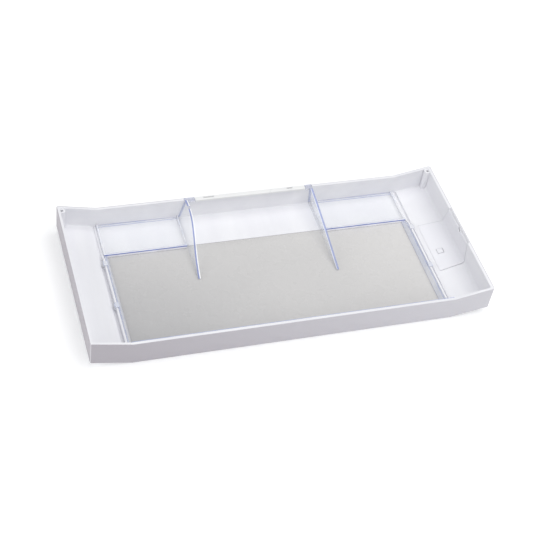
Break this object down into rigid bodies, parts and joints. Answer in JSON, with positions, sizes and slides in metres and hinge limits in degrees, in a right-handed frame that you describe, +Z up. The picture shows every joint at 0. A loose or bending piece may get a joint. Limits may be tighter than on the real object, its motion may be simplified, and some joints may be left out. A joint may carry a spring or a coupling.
{
  "type": "cash drawer tray",
  "caption": "Shallow white moulded tray with turned-up ends, a clear floor window, clear rear shelves, lift-out clear dividers and a snap-in wing cover.",
  "frame": {"origin": "centre of the tray in plan, at the flat underside", "axes": "+X along the tray to the right, +Y to the rear wall with the bosses, +Z up out of the open top"},
  "size_m": [0.4, 0.18, 0.0351],
  "materials": {
    "white_shell": "satin moulded",
    "white_strip": "semi-gloss moulded",
    "white_cover": "satin moulded",
    "window_clear": "clear, faint smoke tint",
    "insert_clear": "clear, polished",
    "divider_clear": "clear, polished"
  },
  "bodies": {
    "tray": {"tray_shell": "white_shell", "rim_strip": "white_strip"},
    "insert": {"window_panel": "window_clear", "front_rail": "insert_clear", "side_rail_left": "insert_clear", "side_rail_right": "insert_clear", "shelf_left": "insert_clear", "shelf_right": "insert_clear", "rail_clip_left_rear": "insert_clear", "rail_clip_left_front": "insert_clear", "rail_clip_right_rear": "insert_clear", "rail_clip_right_front": "insert_clear"},
    "left_divider": {"divider_left": "divider_clear"},
    "right_divider": {"divider_right": "divider_clear"},
    "cover": {"wing_cover": "white_cover"},
    "tab": {"cover_tab": "white_cover"}
  },
  "joints": [
    {"name": "insert_lift", "type": "slide", "parent": "tray", "child": "insert", "axis": [0, 0, 1], "range_m": [0, 0.045]},
    {"name": "divider_left_lift", "type": "slide", "parent": "insert", "child": "left_divider", "axis": [0, 0, 1], "range_m": [0, 0.035]},
    {"name": "divider_right_lift", "type": "slide", "parent": "insert", "child": "right_divider", "axis": [0, 0, 1], "range_m": [0, 0.035]},
    {"name": "cover_lift", "type": "slide", "parent": "tray", "child": "cover", "axis": [-0.77, 0, 0.638], "range_m": [0, 0.02]},
    {"name": "tab_flex", "type": "hinge", "parent": "cover", "child": "tab", "pos_m": [0.1802, -0.0043, 0.00769], "axis": [0.9772, 0, 0.2125], "range_deg": [0, 8], "stiffness_Nm_per_rad": 0.02}
  ]
}
